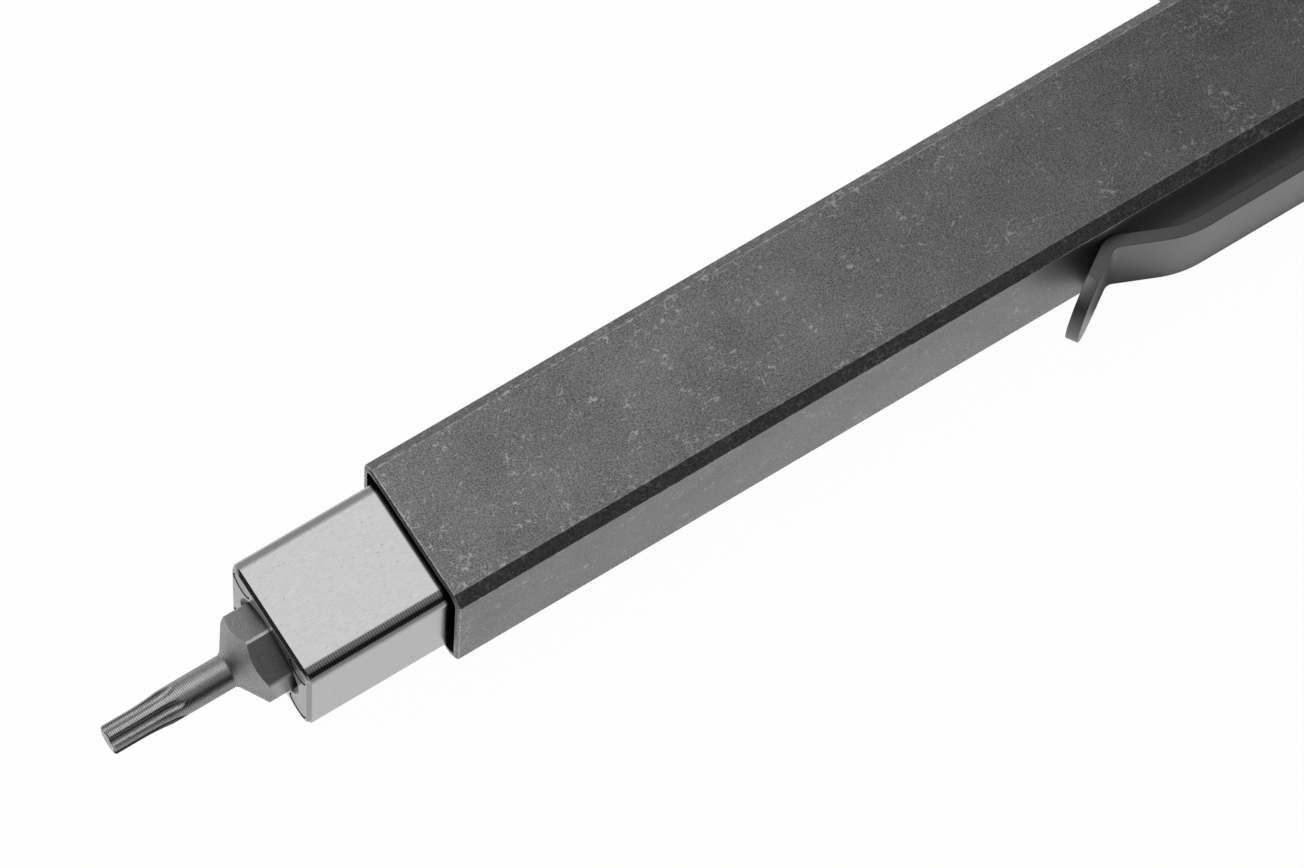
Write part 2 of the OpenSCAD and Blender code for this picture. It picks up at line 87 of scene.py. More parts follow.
def startTurned(profile, centre=(0, 0, 0), axis=alongX, steps=96):
    # profile: points of (place along the axis, radius); a closed one gives a ring
    bm = bmesh.new()
    across = (axis + 1) % 3
    points = []
    for along, radius in profile:
        point = Vector(centre)
        point[axis] += along
        point[across] += radius
        points.append(bm.verts.new(point))
    edges = [bm.edges.new(pair) for pair in zip(points, points[1:])]
    direction = Vector((0, 0, 0))
    direction[axis] = 1
    bmesh.ops.spin(bm, geom=points + edges, cent=centre, axis=direction, dvec=(0, 0, 0),
                   angle=2 * math.pi, steps=steps, use_merge=True, use_duplicate=False)
    bmesh.ops.remove_doubles(bm, verts=bm.verts, dist=1e-4)
    bmesh.ops.recalc_face_normals(bm, faces=bm.faces)
    return bm


def edgesAlong(bm, axis):
    return [e for e in bm.edges
            if abs((e.verts[1].co - e.verts[0].co).normalized()[axis]) > 0.9999]


def sharpEdges(bm, degrees):
    return [e for e in bm.edges
            if len(e.link_faces) == 2 and e.calc_face_angle() > math.radians(degrees)]


def soften(bm, edges, width, steps=2):
    # bevels edges and marks the new faces as worn, for the materials
    wear = bm.faces.layers.float.get("wear") or bm.faces.layers.float.new("wear")
    made = bmesh.ops.bevel(bm, geom=list(edges), offset=width, offset_type="OFFSET",
                           segments=steps, profile=0.5, affect="EDGES", material=-1,
                           clamp_overlap=True)
    for face in made["faces"]:
        face[wear] = 1


def mergeFlats(bm, degrees=0.3):
    bmesh.ops.dissolve_limit(bm, angle_limit=math.radians(degrees), verts=bm.verts,
                             edges=bm.edges)


def combine(bm, other, operation="DIFFERENCE"):
    pair = []
    for shape in (bm, other):
        mesh = bpy.data.meshes.new("scratch")
        shape.to_mesh(mesh)
        pair.append(bpy.data.objects.new("scratch", mesh))
        scene.collection.objects.link(pair[-1])
    boolean = pair[0].modifiers.new("Boolean", "BOOLEAN")
    boolean.operation = operation
    boolean.solver = "EXACT"
    boolean.object = pair[1]
    result = pair[0].evaluated_get(bpy.context.evaluated_depsgraph_get())
    bm.clear()
    bm.from_mesh(result.to_mesh())
    other.free()
    for scratch in pair:
        mesh = scratch.data
        bpy.data.objects.remove(scratch)
        bpy.data.meshes.remove(mesh)
    bmesh.ops.remove_doubles(bm, verts=bm.verts, dist=1e-4)


def addTo(whole, bm):
    mesh = bpy.data.meshes.new("scratch")
    bm.to_mesh(mesh)
    bm.free()
    whole.from_mesh(mesh)
    bpy.data.meshes.remove(mesh)


def moveTo(bm, matrix):
    bmesh.ops.transform(bm, matrix=matrix, verts=bm.verts)
    return bm


def finishPiece(bm, name, body, material, nodes, smoothAngle=32):
    bmesh.ops.remove_doubles(bm, verts=bm.verts, dist=5e-4)
    bmesh.ops.recalc_face_normals(bm, faces=bm.faces)
    bmesh.ops.scale(bm, vec=(mm, mm, mm), verts=bm.verts)
    mesh = bpy.data.meshes.new(name)
    bm.to_mesh(mesh)
    bm.free()
    mesh.polygons.foreach_set("use_smooth", [True] * len(mesh.polygons))
    mesh.set_sharp_from_angle(angle=math.radians(smoothAngle))
    mesh.materials.append(material)
    piece = bpy.data.objects.new(name, mesh)
    scene.collection.objects.link(piece)
    weighted = piece.modifiers.new("Flat faces stay flat", "WEIGHTED_NORMAL")
    weighted.keep_sharp = True
    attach(piece, body)
    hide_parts(*nodes)
    print("made", name, len(mesh.polygons), "faces")


def linear(hexColour):
    values = [int(hexColour[i:i + 2], 16) / 255 for i in (1, 3, 5)]
    return tuple(v / 12.92 if v <= 0.04045 else ((v + 0.055) / 1.055) ** 2.4
                 for v in values) + (1,)


def addNode(tree, kind, inputs=None, **settings):
    node = tree.nodes.new(kind)
    for key, value in settings.items():
        setattr(node, key, value)
    for key, value in (inputs or {}).items():
        if isinstance(value, bpy.types.NodeSocket):
            tree.links.new(value, node.inputs[key])
        else:
            node.inputs[key].default_value = value
    return node


def startMaterial(name, metallic, roughness, colour):
    material = bpy.data.materials.new(name)
    material.use_nodes = True
    shader = material.node_tree.nodes["Principled BSDF"]
    shader.inputs["Base Color"].default_value = linear(colour)
    shader.inputs["Metallic"].default_value = metallic
    shader.inputs["Roughness"].default_value = roughness
    return material, material.node_tree, shader


def stonewashedTitanium():
    # tumbled with stones: a matt grey skin with a fine grain, faint pale nicks and a few short
    # curved scratches, more of them near the edges, and the edges rubbed brighter
    look = {"dark": "#4a4a4a", "pale": "#898989", "nick": "#a9a9a9", "rubbed": "#b8b8b8",
            "grain": 0.12, "cloud": 6.0, "cloudTone": 0.12, "spread": (0.3, 0.7),
            "nickSize": 0.42, "nicked": (0.77, 0.87), "nickTone": 0.75, "patch": 2.4,
            "patchLift": 0.3, "edgeLift": 0.05, "edgeBand": (4.9, 5.8),
            "mouthBand": (-15.0, -12.0), "curl": 1.7, "level": 0.5, "scratch": 0.012,
            "scratched": (0.62, 0.68), "scratchTone": 0.8, "rubFrom": (0.35, 0.65),
            "rubTo": (0.1, 0.9), "bump": 0.22, "depth": 0.02}
    material, tree, shader = startMaterial("stonewashed titanium", 1.0, 0.44, look["dark"])
    place = addNode(tree, "ShaderNodeTexCoord").outputs["Object"]
    inMm = addNode(tree, "ShaderNodeMapping", {"Vector": place, "Scale": toMm})
    inMm = inMm.outputs["Vector"]
    grain = addNode(tree, "ShaderNodeTexNoise",
                    {"Vector": inMm, "Scale": 1 / look["grain"], "Detail": 2, "Roughness": 0.6})
    cloud = addNode(tree, "ShaderNodeTexNoise",
                    {"Vector": inMm, "Scale": 1 / look["cloud"], "Detail": 4, "Roughness": 0.6})
    softCloud = addNode(tree, "ShaderNodeMapRange", {
        "Value": cloud.outputs["Fac"], "To Min": -look["cloudTone"],
        "To Max": look["cloudTone"]})
    tone = addNode(tree, "ShaderNodeMath", {0: grain.outputs["Fac"], 1: softCloud.outputs[0]},
                   operation="ADD", use_clamp=True)
    spread = addNode(tree, "ShaderNodeMapRange", {
        "Value": tone.outputs[0], "From Min": look["spread"][0],
        "From Max": look["spread"][1]})
    skin = addNode(tree, "ShaderNodeMix", {0: spread.outputs[0], 6: linear(look["dark"]),
                                           7: linear(look["pale"])}, data_type="RGBA")
    # how near a long edge or the mouth a point lies
    parts = addNode(tree, "ShaderNodeSeparateXYZ", {"Vector": inMm})
    across = [addNode(tree, "ShaderNodeMath", {0: parts.outputs[i]}, operation="ABSOLUTE")
              for i in (1, 2)]
    inner = addNode(tree, "ShaderNodeMath", {0: across[0].outputs[0], 1: across[1].outputs[0]},
                    operation="MINIMUM")
    nearEdge = addNode(tree, "ShaderNodeMapRange", {
        "Value": inner.outputs[0], "From Min": look["edgeBand"][0],
        "From Max": look["edgeBand"][1]}, interpolation_type="SMOOTHSTEP")
    nearMouth = addNode(tree, "ShaderNodeMapRange", {
        "Value": parts.outputs[0], "From Min": look["mouthBand"][0],
        "From Max": look["mouthBand"][1]}, interpolation_type="SMOOTHSTEP")
    near = addNode(tree, "ShaderNodeMath", {0: nearEdge.outputs[0], 1: nearMouth.outputs[0]},
                   operation="MAXIMUM")
    # nicks are the tops of a fine noise where a wider one is high
    nick = addNode(tree, "ShaderNodeTexNoise",
                   {"Vector": inMm, "Scale": 1 / look["nickSize"], "Detail": 3,
                    "Roughness": 0.6, "Distortion": 0.8})
    patch = addNode(tree, "ShaderNodeTexNoise",
                    {"Vector": inMm, "Scale": 1 / look["patch"], "Detail": 2})
    lifted = addNode(tree, "ShaderNodeMath", {
        0: patch.outputs["Fac"], 1: look["patchLift"], 2: nick.outputs["Fac"]},
        operation="MULTIPLY_ADD")
    lifted = addNode(tree, "ShaderNodeMath", {
        0: near.outputs[0], 1: look["edgeLift"], 2: lifted.outputs[0]},
        operation="MULTIPLY_ADD")
    nicks = addNode(tree, "ShaderNodeMapRange", {
        "Value": lifted.outputs[0], "From Min": look["nicked"][0],
        "From Max": look["nicked"][1], "To Max": look["nickTone"]})
    # scratches follow the level lines of a slow noise, and only here and there
    curl = addNode(tree, "ShaderNodeTexNoise",
                   {"Vector": inMm, "Scale": 1 / look["curl"], "Detail": 1})
    level = addNode(tree, "ShaderNodeMath", {0: curl.outputs["Fac"], 1: look["level"]},
                    operation="SUBTRACT")
    level = addNode(tree, "ShaderNodeMath", {0: level.outputs[0]}, operation="ABSOLUTE")
    line = addNode(tree, "ShaderNodeMapRange", {
        "Value": level.outputs[0], "From Max": look["scratch"], "To Min": 1, "To Max": 0})
    where = addNode(tree, "ShaderNodeMapRange", {
        "Value": patch.outputs["Fac"], "From Min": look["scratched"][0],
        "From Max": look["scratched"][1], "To Max": look["scratchTone"]})
    scratch = addNode(tree, "ShaderNodeMath", {0: line.outputs[0], 1: where.outputs[0]},
                      operation="MULTIPLY")
    marks = addNode(tree, "ShaderNodeMath", {0: nicks.outputs[0], 1: scratch.outputs[0]},
                    operation="MAXIMUM")
    marked = addNode(tree, "ShaderNodeMix", {0: marks.outputs[0], 6: skin.outputs[2],
                                             7: linear(look["nick"])}, data_type="RGBA")
    wear = addNode(tree, "ShaderNodeAttribute", attribute_name="wear")
    rubbing = addNode(tree, "ShaderNodeMapRange", {
        "Value": nick.outputs["Fac"], "From Min": look["rubFrom"][0],
        "From Max": look["rubFrom"][1], "To Min": look["rubTo"][0],
        "To Max": look["rubTo"][1]})
    rubbed = addNode(tree, "ShaderNodeMath", {0: wear.outputs["Fac"], 1: rubbing.outputs[0]},
                     operation="MULTIPLY")
    colour = addNode(tree, "ShaderNodeMix", {0: rubbed.outputs[0], 6: marked.outputs[2],
                                             7: linear(look["rubbed"])}, data_type="RGBA")
    tree.links.new(colour.outputs[2], shader.inputs["Base Color"])
    bump = addNode(tree, "ShaderNodeBump", {
        "Height": grain.outputs["Fac"], "Strength": look["bump"],
        "Distance": look["depth"] * mm})
    tree.links.new(bump.outputs["Normal"], shader.inputs["Normal"])
    return material


def brushedSteel():
    # brushed lengthwise and then polished: faint streaks, a few pits, a cutter's marks across one
    # long corner, dark oil in the dowel seams, and painted shade in the holes, the lead-in cone
    # and at the mouth
    look = {"low": "#8a8a8a", "high": "#b0b0b0", "pit": "#7d7d7d", "oilAndPaintedShade": "#161616",
            "marked": "#565656", "line": 0.09, "streak": (200, 1000, 1000), "pitSize": 0.28,
            "pitted": (0.7, 0.8), "pitch": 0.21, "markTone": 0.8, "markY": (4.2, 4.4),
            "markZ": (4.7, 4.9), "mouth": -12.0, "paintedMouthShade": (0.3, 0.46), "paintedMouthShadeTone": 0.95,
            "bump": 0.15, "depth": 0.003}
    material, tree, shader = startMaterial("brushed steel", 1.0, 0.17, look["low"])
    place = addNode(tree, "ShaderNodeTexCoord").outputs["Object"]
    stretched = addNode(tree, "ShaderNodeMapping", {"Vector": place, "Scale": look["streak"]})
    inMm = addNode(tree, "ShaderNodeMapping", {"Vector": place, "Scale": toMm})
    lines = addNode(tree, "ShaderNodeTexNoise", {"Vector": stretched.outputs["Vector"],
                                                 "Scale": 1 / look["line"], "Detail": 4,
                                                 "Roughness": 0.7})
    streaked = addNode(tree, "ShaderNodeMix", {0: lines.outputs["Fac"], 6: linear(look["low"]),
                                               7: linear(look["high"])}, data_type="RGBA")
    pits = addNode(tree, "ShaderNodeTexNoise", {"Vector": inMm.outputs["Vector"],
                                                "Scale": 1 / look["pitSize"], "Detail": 1})
    deep = addNode(tree, "ShaderNodeMapRange", {
        "Value": pits.outputs["Fac"], "From Min": look["pitted"][0],
        "From Max": look["pitted"][1]})
    skin = addNode(tree, "ShaderNodeMix", {0: deep.outputs[0], 6: streaked.outputs[2],
                                           7: linear(look["pit"])}, data_type="RGBA")
    parts = addNode(tree, "ShaderNodeSeparateXYZ", {"Vector": inMm.outputs["Vector"]})
    limits = [addNode(tree, "ShaderNodeMapRange", {"Value": parts.outputs[i],
                                                   "From Min": look[key][0],
                                                   "From Max": look[key][1]})
              for i, key in ((1, "markY"), (2, "markZ"))]
    marked = addNode(tree, "ShaderNodeMath", {0: limits[0].outputs[0], 1: limits[1].outputs[0]},
                     operation="MULTIPLY")
    wave = addNode(tree, "ShaderNodeMath", {0: parts.outputs[0], 1: 2 * math.pi / look["pitch"]},
                   operation="MULTIPLY")
    wave = addNode(tree, "ShaderNodeMath", {0: wave.outputs[0]}, operation="SINE")
    ridge = addNode(tree, "ShaderNodeMapRange", {
        "Value": wave.outputs[0], "From Min": -1, "From Max": 1, "To Min": 0,
        "To Max": look["markTone"]})
    darker = addNode(tree, "ShaderNodeMath", {0: ridge.outputs[0], 1: marked.outputs[0]},
                     operation="MULTIPLY")
    cut = addNode(tree, "ShaderNodeMix", {0: darker.outputs[0], 6: skin.outputs[2],
                                          7: linear(look["marked"])}, data_type="RGBA")
    # oil lies in the dowel seams and painted shade on the socket and cone walls, and a line of
    # painted shade lies where the carriage comes out of the mouth, which widens the dark band
    # there
    # this attribute carries oil in the dowel seams and painted shade on the socket and cone walls
    oilAndPaintedShade = addNode(tree, "ShaderNodeAttribute", attribute_name="oilAndPaintedShade")
    fromMouth = addNode(tree, "ShaderNodeMath", {0: parts.outputs[0], 1: look["mouth"]},
                        operation="SUBTRACT")
    fromMouth = addNode(tree, "ShaderNodeMath", {0: fromMouth.outputs[0]}, operation="ABSOLUTE")
    # painted shade: a dark line across the carriage just in front of the tube's mouth
    paintedMouthShade = addNode(tree, "ShaderNodeMapRange", {"Value": fromMouth.outputs[0],
                                                "From Min": look["paintedMouthShade"][0],
                                                "From Max": look["paintedMouthShade"][1],
                                                "To Min": look["paintedMouthShadeTone"], "To Max": 0})
    oiledAndShaded = addNode(tree, "ShaderNodeMath", {0: oilAndPaintedShade.outputs["Fac"], 1: paintedMouthShade.outputs[0]},
                    operation="MAXIMUM")
    colour = addNode(tree, "ShaderNodeMix", {0: oiledAndShaded.outputs[0], 6: cut.outputs[2],
                                             7: linear(look["oilAndPaintedShade"])}, data_type="RGBA")
    tree.links.new(colour.outputs[2], shader.inputs["Base Color"])
    bump = addNode(tree, "ShaderNodeBump", {
        "Height": lines.outputs["Fac"], "Strength": look["bump"],
        "Distance": look["depth"] * mm})
    tree.links.new(bump.outputs["Normal"], shader.inputs["Normal"])
    return material


def blastedBitSteel():
    # turned, then blasted: an even grain, and the turning's rings left on the slim shaft
    look = {"low": "#666666", "high": "#b0b0b0", "grain": 0.14, "pitch": 0.16,
            "slim": (1.4, 1.6), "ringTone": 0.3, "ringHeight": 1.2, "bump": 0.3, "depth": 0.012}
    material, tree, shader = startMaterial("blasted bit steel", 1.0, 0.34, look["low"])
    place = addNode(tree, "ShaderNodeTexCoord").outputs["Object"]
    inMm = addNode(tree, "ShaderNodeMapping", {"Vector": place, "Scale": toMm})
    grain = addNode(tree, "ShaderNodeTexNoise", {"Vector": inMm.outputs["Vector"],
                                                 "Scale": 1 / look["grain"], "Detail": 3})
    flat = addNode(tree, "ShaderNodeVectorMath", {0: inMm.outputs["Vector"], 1: (0, 1, 1)},
                   operation="MULTIPLY")
    radius = addNode(tree, "ShaderNodeVectorMath", {0: flat.outputs[0]}, operation="LENGTH")
    slim = addNode(tree, "ShaderNodeMapRange", {"Value": radius.outputs["Value"],
                                                "From Min": look["slim"][0],
                                                "From Max": look["slim"][1],
                                                "To Min": 1, "To Max": 0})
    along = addNode(tree, "ShaderNodeSeparateXYZ", {"Vector": inMm.outputs["Vector"]})
    rings = addNode(tree, "ShaderNodeMath", {0: along.outputs[0],
                                             1: 2 * math.pi / look["pitch"]}, operation="MULTIPLY")
    rings = addNode(tree, "ShaderNodeMath", {0: rings.outputs[0]}, operation="SINE")
    ringed = addNode(tree, "ShaderNodeMath", {0: rings.outputs[0], 1: slim.outputs[0]},
                     operation="MULTIPLY")
    tone = addNode(tree, "ShaderNodeMath", {
        0: ringed.outputs[0], 1: look["ringTone"], 2: grain.outputs["Fac"]},
        operation="MULTIPLY_ADD", use_clamp=True)
    colour = addNode(tree, "ShaderNodeMix", {0: tone.outputs[0], 6: linear(look["low"]),
                                             7: linear(look["high"])}, data_type="RGBA")
    tree.links.new(colour.outputs[2], shader.inputs["Base Color"])
    height = addNode(tree, "ShaderNodeMath", {
        0: ringed.outputs[0], 1: look["ringHeight"], 2: grain.outputs["Fac"]},
        operation="MULTIPLY_ADD")
    bump = addNode(tree, "ShaderNodeBump", {
        "Height": height.outputs[0], "Strength": look["bump"],
        "Distance": look["depth"] * mm})
    tree.links.new(bump.outputs["Normal"], shader.inputs["Normal"])
    return material


def grainedFinish(name, low, high, metallic, roughness, grain, depth, bumpStrength=0.3):
    # an even finish with fine grain, for the pieces that stay plain
    material, tree, shader = startMaterial(name, metallic, roughness, low)
    place = addNode(tree, "ShaderNodeTexCoord").outputs["Object"]
    inMm = addNode(tree, "ShaderNodeMapping", {"Vector": place, "Scale": toMm})
    noise = addNode(tree, "ShaderNodeTexNoise", {"Vector": inMm.outputs["Vector"],
                                                 "Scale": 1 / grain, "Detail": 3})
    colour = addNode(tree, "ShaderNodeMix", {0: noise.outputs["Fac"], 6: linear(low),
                                             7: linear(high)}, data_type="RGBA")
    tree.links.new(colour.outputs[2], shader.inputs["Base Color"])
    bump = addNode(tree, "ShaderNodeBump", {
        "Height": noise.outputs["Fac"], "Strength": bumpStrength, "Distance": depth * mm})
    tree.links.new(bump.outputs["Normal"], shader.inputs["Normal"])
    return material


tubeFinish = stonewashedTitanium()
blockFinish = brushedSteel()
clipFinish = grainedFinish("satin clip titanium", "#555555", "#727272", 1.0, 0.4, 0.12, 0.012)
screwFinish = grainedFinish("black oxide steel", "#2c2c2e", "#3a3a3c", 1.0, 0.45, 0.15, 0.01)
rubberFinish = grainedFinish("nitrile rubber", "#1b1b1c", "#242425", 0.0, 0.6, 0.25, 0.02)
acetalFinish = grainedFinish("acetal, turned black", "#232324", "#2c2c2e", 0.0, 0.4, 0.2, 0.01)
padFinish = grainedFinish("filled low-friction plastic", "#dcdbd6", "#e9e8e4", 0.0, 0.5, 0.3,
                          0.01)
groundFinish = grainedFinish("ground steel", "#9c9c9c", "#b0b0b0", 1.0, 0.28, 0.1, 0.005)
magnetFinish = grainedFinish("nickel plate", "#a8a6a0", "#b8b6b0", 1.0, 0.25, 0.3, 0.005)
brassFinish = grainedFinish("brass", "#a98848", "#bb9a58", 1.0, 0.3, 0.2, 0.008)
bitFinish = blastedBitSteel()
print("materials ready")


# tube: its slot lies in the wall that faces away from the camera
tube = {"edge": 0.92, "wall": 0.5, "boreCorner": 1.0, "rim": 0.16, "longRound": 0.05,
        "mouthRound": 0.04, "slotGap": 0.15, "slotRound": 0.1, "screwHole": 2.2}
sleeveLow, sleeveHigh = boxOf("body_sleeve")
studLow, studHigh = boxOf("bolt_stud")
screwLow, screwHigh = boxOf("clip_screws")
studX = (studLow.x + studHigh.x) / 2
slotWidth = studHigh.x - studLow.x + 2 * tube["slotGap"]
notchZ = sleeveHigh.z * math.tan(boltTurn) + tube["slotGap"] / 2
headWidth = screwHigh.z - screwLow.z
screwXs = [screwLow.x + headWidth / 2, screwHigh.x - headWidth / 2]


def roundBar(low, high, corner, steps=12):
    # a square bar along X with round long corners
    bm = startBox(low, high)
    bmesh.ops.bevel(bm, geom=edgesAlong(bm, alongX), offset=corner, offset_type="OFFSET",
                    segments=steps, profile=0.5, affect="EDGES", material=-1)
    return bm


def slotCutter(fromX, toX, lowZ, highZ):
    half = slotWidth / 2
    bm = startBox((fromX - half, sleeveLow.y - past, lowZ - half),
                  (toX + half, sleeveLow.y + tube["wall"] + past, highZ + half))
    bmesh.ops.bevel(bm, geom=edgesAlong(bm, alongY), offset=half - shy, offset_type="OFFSET",
                    segments=16, profile=0.5, affect="EDGES", material=-1)
    bmesh.ops.remove_doubles(bm, verts=bm.verts, dist=5e-3)
    return bm


def makeTube():
    bm = startBox(sleeveLow, sleeveHigh)
    bmesh.ops.bevel(bm, geom=edgesAlong(bm, alongX), offset=tube["edge"], offset_type="OFFSET",
                    segments=1, profile=0.5, affect="EDGES", material=-1)
    wall = Vector((0, tube["wall"], tube["wall"]))
    beyond = Vector((past, 0, 0))
    combine(bm, roundBar(sleeveLow - beyond + wall, sleeveHigh + beyond - wall,
                         tube["boreCorner"]))
    rearX = studX - slideTravel
    combine(bm, slotCutter(rearX, studX, 0, 0))
    for x in (studX, rearX):
        combine(bm, slotCutter(x, x, 0, notchZ))
    for x in screwXs:
        combine(bm, startRod(tube["screwHole"], (x, 0, 0), (x, sleeveHigh.y + past, 0)))
    mergeFlats(bm)
    half = sleeveHigh.y
    flat = half - tube["edge"]

    def onOutline(vert):
        y, z = abs(vert.co.y), abs(vert.co.z)
        return abs(y - half) < touch and abs(z - flat) < touch or \
            abs(z - half) < touch and abs(y - flat) < touch

    rim = [e for e in bm.edges if all(abs(v.co.x - sleeveHigh.x) < touch and onOutline(v)
                                      for v in e.verts)]
    bmesh.ops.bevel(bm, geom=rim, offset=tube["rim"], offset_type="OFFSET", segments=1,
                    profile=0.5, affect="EDGES", material=-1)
    bevelled = [e for e in bm.edges if all(abs(v.co.x - sleeveHigh.x + tube["rim"]) < touch
                                           and onOutline(v) for v in e.verts)]
    outer = [e for e in edgesAlong(bm, alongX) if all(map(onOutline, e.verts))]
    soften(bm, bevelled + outer, tube["longRound"], 3)
    inner = [e for e in sharpEdges(bm, 60)
             if all(abs(v.co.x - sleeveHigh.x) < touch for v in e.verts)]
    soften(bm, inner, tube["mouthRound"], 2)
    slot = [e for e in sharpEdges(bm, 60)
            if all(abs(v.co.y - sleeveLow.y) < touch for v in e.verts)]
    soften(bm, slot, tube["slotRound"], 2)
    finishPiece(bm, "stonewashed_tube", "handle", tubeFinish,
                ["body_sleeve"])


makeTube()


# tail plug, which closes the tube
plug = {"chamfer": 0.5, "round": 0.08, "corner": 1.0, "seat": 0.02, "overlap": 0.5}


def makePlug():
    low, high = boxOf("tail_plug")
    bm = startBox(low, (sleeveLow.x, high.y, high.z))
    bmesh.ops.bevel(bm, geom=edgesAlong(bm, alongX), offset=tube["edge"], offset_type="OFFSET",
                    segments=1, profile=0.5, affect="EDGES", material=-1)
    rear = [e for e in bm.edges if all(abs(v.co.x - low.x) < touch for v in e.verts)]
    bmesh.ops.bevel(bm, geom=rear, offset=plug["chamfer"], offset_type="OFFSET", segments=1,
                    profile=0.5, affect="EDGES", material=-1)
    inset = tube["wall"] + plug["seat"]
    combine(bm, roundBar((sleeveLow.x - plug["overlap"], low.y + inset, low.z + inset),
                         (high.x, high.y - inset, high.z - inset), plug["corner"]), "UNION")
    outer = [e for e in sharpEdges(bm, 20)
             if max(v.co.x for v in e.verts) < sleeveLow.x + touch]
    soften(bm, outer, plug["round"], 2)
    finishPiece(bm, "tail_plug_dressed", "handle", tubeFinish,
                ["tail_plug"])


makePlug()


# pocket clip, bent along a path from its foot to its tip, with angles in degrees
clip = {"foot": 11.8, "gap": 2.16, "contactGap": 0.06, "joggle": 30, "joggleBend": 3.5,
        "ramp": 23, "rampBend": 8.2, "contactBend": 1.3, "flare": 34, "flareRun": 5.8,
        "contactBack": 56.0, "tipShare": 0.98, "thick": 1.0, "round": 0.18, "bendSteps": 16,
        "tipSteps": 24, "trimLength": 90, "trimHalf": 60, "holeReach": 5}


def makeClip():
    low, high = boxOf("pocket_clip")
    bodyHalf, thick = sleeveHigh.y, clip["thick"]
    joggleTurn, rampTurn = math.radians(clip["joggle"]), math.radians(clip["ramp"])
    cosJoggle, sinJoggle = math.cos(joggleTurn), math.sin(joggleTurn)
    cosRamp, sinRamp = math.cos(rampTurn), math.sin(rampTurn)
    lift = clip["gap"] - clip["contactGap"]
    rampRun = (lift - (clip["rampBend"] + clip["contactBend"]) * (1 - cosRamp)) / sinRamp
    joggleRun = (clip["gap"] - 2 * clip["joggleBend"] * (1 - cosJoggle)) / sinJoggle
    rampX = (clip["rampBend"] + clip["contactBend"]) * sinRamp + rampRun * cosRamp
    joggleX = 2 * clip["joggleBend"] * sinJoggle + joggleRun * cosJoggle
    straight = sleeveHigh.x - clip["contactBack"] - rampX - (low.x + clip["foot"] + joggleX)
    moves = [(clip["foot"], clip["joggleBend"], clip["joggle"]),
             (joggleRun, clip["joggleBend"], -clip["joggle"]),
             (straight, clip["rampBend"], -clip["ramp"]),
             (rampRun, clip["contactBend"], clip["ramp"] + clip["flare"]),
             (clip["flareRun"], 0, 0)]
    # the section is carried along the path, straight and then round each bend
    bm = bmesh.new()
    corners = [bm.verts.new((low.x, bodyHalf + y, z)) for y, z in
               ((0, low.z), (thick, low.z), (thick, high.z), (0, high.z))]
    start = bm.faces.new(corners)
    edges = list(start.edges)
    heading = 0.0
    point = Vector((low.x, bodyHalf + thick / 2, 0))

    def carry(edges, matrix):
        made = bmesh.ops.extrude_edge_only(bm, edges=edges)["geom"]
        verts = [g for g in made if isinstance(g, bmesh.types.BMVert)]
        bmesh.ops.transform(bm, matrix=matrix, verts=verts)
        return [g for g in made if isinstance(g, bmesh.types.BMEdge)
                and all(v in verts for v in g.verts)]

    for length, radius, turn in moves:
        step = Vector((math.cos(heading), math.sin(heading), 0)) * length
        edges = carry(edges, Matrix.Translation(step))
        point += step
        if not turn:
            continue
        side = 1 if turn > 0 else -1
        centre = point + side * radius * Vector((-math.sin(heading), math.cos(heading), 0))
        part = Matrix.Rotation(math.radians(turn) / clip["bendSteps"], 4, "Z")
        matrix = Matrix.Translation(centre) @ part @ Matrix.Translation(-centre)
        for i in range(clip["bendSteps"]):
            edges = carry(edges, matrix)
            point = matrix @ point
        heading += math.radians(turn)
    bmesh.ops.edgenet_fill(bm, edges=edges)
    bmesh.ops.recalc_face_normals(bm, faces=bm.faces)
    # round the tip's corners with a long round-cornered block that points along the tip
    trim = startBox((-clip["trimLength"], -clip["trimHalf"], low.z - touch),
                    (0, clip["trimHalf"], high.z + touch))
    bmesh.ops.bevel(trim, geom=[e for e in edgesAlong(trim, alongY)
                                if all(abs(v.co.x) < touch for v in e.verts)],
                    offset=high.z * clip["tipShare"], offset_type="OFFSET",
                    segments=clip["tipSteps"], profile=0.5, affect="EDGES", material=-1)
    moveTo(trim, Matrix.Translation(point) @ Matrix.Rotation(heading, 4, "Z"))
    combine(bm, trim, "INTERSECT")
    for x in screwXs:
        combine(bm, startRod(tube["screwHole"], (x, 0, 0),
                             (x, bodyHalf + clip["holeReach"], 0)))
    mergeFlats(bm)
    soften(bm, sharpEdges(bm, 50), clip["round"], 3)
    finishPiece(bm, "tumbled_clip", "handle", clipFinish, ["pocket_clip"])


makeClip()


# clip screws, with domed heads and hexagonal keys
clipScrew = {"head": 3.6, "height": 1.1, "crown": 0.44, "thread": 2.0, "key": 1.51,
             "keyFloor": 0.37, "keyTop": 2, "round": 0.06, "roundAbove": 0.1}


def makeClipScrews():
    seat = screwHigh.y - clipScrew["height"]
    half = clipScrew["head"] / 2
    shoulder = clipScrew["height"] - clipScrew["crown"]
    both = bmesh.new()
    for x in screwXs:
        dome = [(shoulder + clipScrew["crown"] * math.cos(a), half * math.sin(a))
                for a in [math.radians(d) for d in range(0, 91, 9)]]
        profile = dome + [(0, half), (0, clipScrew["thread"] / 2),
                          (screwLow.y - seat, clipScrew["thread"] / 2), (screwLow.y - seat, 0)]
        bm = startTurned(profile, (x, seat, 0), alongY, 64)
        combine(bm, startRod(clipScrew["key"] * 2 / math.sqrt(3),
                             (x, seat + clipScrew["keyFloor"], 0),
                             (x, seat + clipScrew["keyTop"], 0), 6))
        above = seat + clipScrew["roundAbove"]
        soften(bm, [e for e in sharpEdges(bm, 35) if min(v.co.y for v in e.verts) > above],
               clipScrew["round"], 2)
        addTo(both, bm)
    finishPiece(both, "black_clip_screws", "handle", screwFinish,
                ["clip_screws"])


makeClipScrews()


